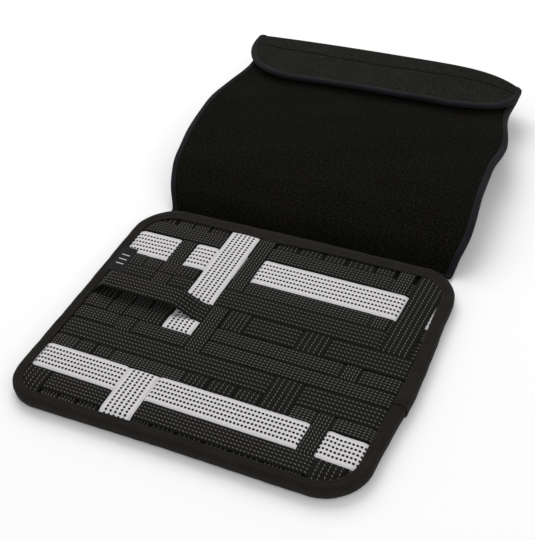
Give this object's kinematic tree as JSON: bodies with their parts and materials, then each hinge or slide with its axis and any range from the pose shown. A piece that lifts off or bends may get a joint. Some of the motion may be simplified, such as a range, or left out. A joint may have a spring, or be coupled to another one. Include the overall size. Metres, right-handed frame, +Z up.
{
  "type": "cable organizer pouch",
  "caption": "Flat travel organizer: a bound padded board with a woven grid of elastic straps, and a plush-lined flap with a folded lip that closes over it.",
  "frame": {"origin": "centre of the board's flat underside, where the pouch lies on a table", "axes": "+X to the right along the board's front edge, +Y to the rear edge the flap is sewn to, +Z up out of the strap grid"},
  "size_m": [0.2828, 0.4898, 0.0402],
  "materials": {
    "strap_black": "ribbed elastic with pale dashes",
    "strap_white": "ribbed elastic with dark dots",
    "binding": "stretch binding tape",
    "neoprene": "smooth stretch jersey over neoprene",
    "plush": "short plush pile",
    "cloth": "plain woven cloth",
    "foam": "soft foam",
    "board": "matte",
    "label": "plain woven label"
  },
  "bodies": {
    "board": {"rear_panel": "neoprene", "stiffener": "board", "foam_pad": "foam", "face_cloth": "cloth", "edge_binding": "binding", "binding_end": "binding", "label": "label", "row_strap_1": "strap_black", "row_strap_2": "strap_white", "row_strap_3": "strap_black", "row_strap_4": "strap_black", "row_strap_5": "strap_black", "row_strap_6": "strap_black", "row_strap_7": "strap_black", "row_strap_8": "strap_black", "row_strap_9": "strap_black", "row_strap_10": "strap_white", "row_strap_11": "strap_black", "phone_strap_left": "strap_black", "phone_strap_right": "strap_black", "column_strap_1": "strap_black", "column_strap_2": "strap_black", "column_strap_3": "strap_black", "column_strap_4": "strap_black", "column_strap_5": "strap_white", "column_strap_6": "strap_black", "column_strap_7": "strap_black", "column_strap_8": "strap_black", "column_strap_9": "strap_black", "column_strap_10": "strap_black", "column_strap_11": "strap_black", "column_strap_12": "strap_black", "column_strap_13": "strap_black"},
    "flap_1": {"flap_shell_1": "neoprene", "flap_lining_1": "plush", "flap_binding_1": "binding"},
    "flap_2": {"flap_shell_2": "neoprene", "flap_lining_2": "plush", "flap_binding_2": "binding"},
    "flap_3": {"flap_shell_3": "neoprene", "flap_lining_3": "plush", "flap_binding_3": "binding"},
    "flap_4": {"flap_shell_4": "neoprene", "flap_lining_4": "plush", "flap_binding_4": "binding", "fold_core": "neoprene"},
    "lip": {"lip_panel": "neoprene", "lip_binding": "binding", "lip_seam": "binding"},
    "strap_middle": {"phone_strap": "strap_black"}
  },
  "joints": [
    {"name": "flap_close", "type": "hinge", "parent": "board", "child": "flap_1", "pos_m": [0, 0.1205, 0.0026], "axis": [1, 0, 0], "range_deg": [0, 42]},
    {"name": "flap_bend_2", "type": "hinge", "parent": "flap_1", "child": "flap_2", "pos_m": [0, 0.1303, 0.0177], "axis": [1, 0, 0], "range_deg": [-0.5, 101.5]},
    {"name": "flap_bend_3", "type": "hinge", "parent": "flap_2", "child": "flap_3", "pos_m": [0, 0.15525, 0.03041], "axis": [1, 0, 0], "range_deg": [-0.5, 29.5]},
    {"name": "flap_bend_4", "type": "hinge", "parent": "flap_3", "child": "flap_4", "pos_m": [0, 0.18496, 0.03458], "axis": [1, 0, 0], "range_deg": [-0.5, 10.8]},
    {"name": "lip_fold", "type": "hinge", "parent": "flap_4", "child": "lip", "pos_m": [0, 0.3659, 0.03265], "axis": [1, 0, 0], "range_deg": [-90, 0]},
    {"name": "strap_stretch", "type": "slide", "parent": "board", "child": "strap_middle", "axis": [0, 0, 1], "range_m": [-0.0082, 0], "deforming": ["phone_strap_left", "phone_strap_right"]}
  ],
  "couplings": [
    {"joint": "flap_bend_2", "follows": "flap_close", "ratio": 2.4048},
    {"joint": "flap_bend_3", "follows": "flap_close", "ratio": 0.69048},
    {"joint": "flap_bend_4", "follows": "flap_close", "ratio": 0.24524}
  ]
}
